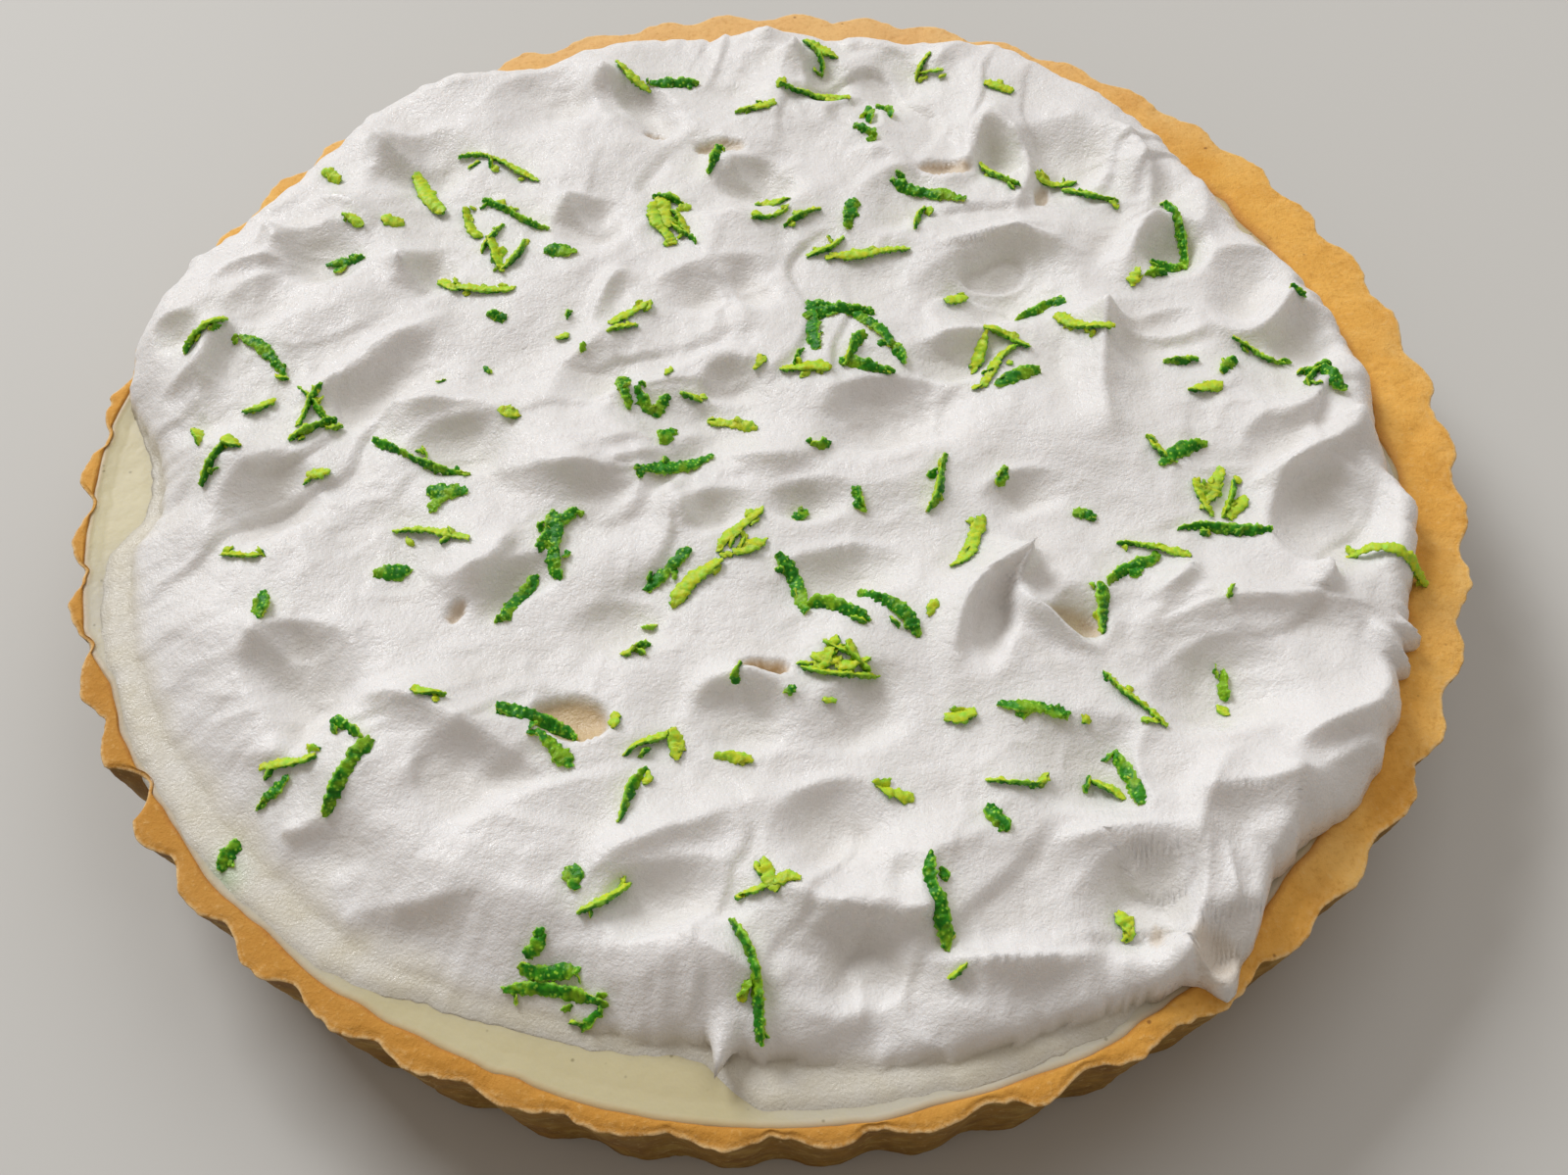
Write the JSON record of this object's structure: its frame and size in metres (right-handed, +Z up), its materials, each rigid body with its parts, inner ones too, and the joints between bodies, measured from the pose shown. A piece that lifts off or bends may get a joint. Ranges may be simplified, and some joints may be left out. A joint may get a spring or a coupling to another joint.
{
  "type": "lemon pie",
  "caption": "Round lemon tart in a fluted shortcrust shell, filled to the rim, with a spooned white topping in swoops and peaks strewn with shreds of green peel.",
  "frame": {"origin": "centre of the crust's underside, on the surface that the tart stands on", "axes": "+Z up through the middle of the tart, -Y the side nearest the picture's camera, +X to its right"},
  "size_m": [0.2396, 0.2394, 0.041],
  "materials": {
    "baked_crust": "golden baked shortcrust, matt and grainy",
    "lemon_filling": "pale yellow set cream, smooth and glossy",
    "white_topping": "soft white whipped topping, moist",
    "lime_peel": "fresh green citrus peel, pored"
  },
  "bodies": {
    "root": {"crust": "baked_crust", "filling": "lemon_filling", "topping": "white_topping"}
  },
  "joints": []
}
